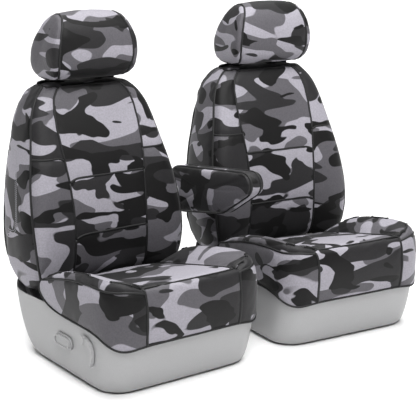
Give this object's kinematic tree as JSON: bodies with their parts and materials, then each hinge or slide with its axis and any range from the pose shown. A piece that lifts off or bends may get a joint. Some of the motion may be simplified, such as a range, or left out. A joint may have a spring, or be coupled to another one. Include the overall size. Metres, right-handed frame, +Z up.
{
  "type": "seat cover set",
  "caption": "Camouflage bucket-seat covers fitted to a pair of vehicle seats, with separate headrest covers and one padded armrest cover.",
  "frame": {"origin": "floor under the middle of the pair of seats", "axes": "+X to the right seen from in front of the seats, +Y to the rear of the seats, +Z up"},
  "size_m": [1.2402, 0.7239, 1.0128],
  "materials": {
    "camouflage_neoprene": "printed grey and black camouflage, soft sheen",
    "moulded_foam": "matt open-cell foam",
    "grey_plastic": "satin moulded",
    "black_plastic": "satin moulded",
    "painted_steel": "grey powder coat",
    "bright_steel": "zinc plated"
  },
  "bodies": {
    "tracks": {"left_floor_rails": "painted_steel", "right_floor_rails": "painted_steel"},
    "left_seat": {"left_slide_runners": "bright_steel", "left_seat_frame": "painted_steel", "left_base_shroud": "grey_plastic", "left_cushion_foam": "moulded_foam", "left_cushion_tuck_rod": "black_plastic", "left_cushion_seat_panel": "camouflage_neoprene", "left_cushion_bolster_panels": "camouflage_neoprene", "left_cushion_welt_strips": "camouflage_neoprene", "left_cushion_side_panels": "camouflage_neoprene", "left_cushion_front_panel": "camouflage_neoprene", "left_recliner_brackets": "painted_steel"},
    "left_backrest": {"left_recliner_shaft": "bright_steel", "left_back_frame": "painted_steel", "left_back_foam": "moulded_foam", "left_back_insert_panels": "camouflage_neoprene", "left_back_bolster_panels": "camouflage_neoprene", "left_back_side_panels": "camouflage_neoprene", "left_back_rear_panel": "camouflage_neoprene", "left_headrest_guides": "black_plastic", "left_armrest_bracket": "painted_steel"},
    "left_headrest": {"left_headrest_posts": "bright_steel", "left_headrest_core": "moulded_foam", "left_headrest_wrap": "camouflage_neoprene", "left_headrest_end_panels": "camouflage_neoprene"},
    "left_recline_lever": {"left_recline_lever": "grey_plastic"},
    "left_lumbar_knob": {"left_lumbar_knob": "grey_plastic"},
    "left_armrest": {"left_armrest_hub": "bright_steel", "left_armrest_core": "moulded_foam", "left_armrest_side_panels": "camouflage_neoprene", "left_armrest_band": "camouflage_neoprene"},
    "right_seat": {"right_slide_runners": "bright_steel", "right_seat_frame": "painted_steel", "right_base_shroud": "grey_plastic", "right_cushion_foam": "moulded_foam", "right_cushion_tuck_rod": "black_plastic", "right_cushion_seat_panel": "camouflage_neoprene", "right_cushion_bolster_panels": "camouflage_neoprene", "right_cushion_welt_strips": "camouflage_neoprene", "right_cushion_side_panels": "camouflage_neoprene", "right_cushion_front_panel": "camouflage_neoprene", "right_recliner_brackets": "painted_steel"},
    "right_backrest": {"right_recliner_shaft": "bright_steel", "right_back_frame": "painted_steel", "right_back_foam": "moulded_foam", "right_back_insert_panels": "camouflage_neoprene", "right_back_bolster_panels": "camouflage_neoprene", "right_back_side_panels": "camouflage_neoprene", "right_back_rear_panel": "camouflage_neoprene", "right_headrest_guides": "black_plastic"},
    "right_headrest": {"right_headrest_posts": "bright_steel", "right_headrest_core": "moulded_foam", "right_headrest_wrap": "camouflage_neoprene", "right_headrest_end_panels": "camouflage_neoprene"},
    "right_recline_lever": {"right_recline_lever": "grey_plastic"},
    "right_lumbar_knob": {"right_lumbar_knob": "grey_plastic"}
  },
  "joints": [
    {"name": "left_slide", "type": "slide", "parent": "tracks", "child": "left_seat", "axis": [0, -1, 0], "range_m": [-0.065, 0.065]},
    {"name": "left_recline", "type": "hinge", "parent": "left_seat", "child": "left_backrest", "pos_m": [-0.33627, 0.24464, 0.262], "axis": [-1, 0, 0], "range_deg": [0, 35]},
    {"name": "left_headrest_lift", "type": "slide", "parent": "left_backrest", "child": "left_headrest", "axis": [0, 0.1045, 0.9945], "range_m": [0, 0.06]},
    {"name": "left_recline_lever_pull", "type": "hinge", "parent": "left_seat", "child": "left_recline_lever", "pos_m": [-0.59808, -0.16636, 0.146], "axis": [-1, 0, 0], "range_deg": [0, 20], "stiffness_Nm_per_rad": 0.6},
    {"name": "left_lumbar_knob_turn", "type": "hinge", "parent": "left_seat", "child": "left_lumbar_knob", "pos_m": [-0.59808, -0.05536, 0.108], "axis": [-1, 0, 0], "range_deg": [-90, 90]},
    {"name": "left_armrest_lift", "type": "hinge", "parent": "left_backrest", "child": "left_armrest", "pos_m": [-0.01628, 0.17664, 0.432], "axis": [-1, 0, 0], "range_deg": [0, 100]},
    {"name": "right_slide", "type": "slide", "parent": "tracks", "child": "right_seat", "axis": [-0.1045, -0.9945, 0], "range_m": [-0.065, 0.065]},
    {"name": "right_recline", "type": "hinge", "parent": "right_seat", "child": "right_backrest", "pos_m": [0.33836, 0.23087, 0.262], "axis": [-0.9945, 0.1045, 0], "range_deg": [0, 35]},
    {"name": "right_headrest_lift", "type": "slide", "parent": "right_backrest", "child": "right_headrest", "axis": [0.0109, 0.104, 0.9945], "range_m": [0, 0.06]},
    {"name": "right_recline_lever_pull", "type": "hinge", "parent": "right_seat", "child": "right_recline_lever", "pos_m": [0.55576, -0.20524, 0.146], "axis": [-0.9945, 0.1045, 0], "range_deg": [0, 20], "stiffness_Nm_per_rad": 0.6},
    {"name": "right_lumbar_knob_turn", "type": "hinge", "parent": "right_seat", "child": "right_lumbar_knob", "pos_m": [0.56737, -0.09485, 0.108], "axis": [-0.9945, 0.1045, 0], "range_deg": [-90, 90]}
  ]
}
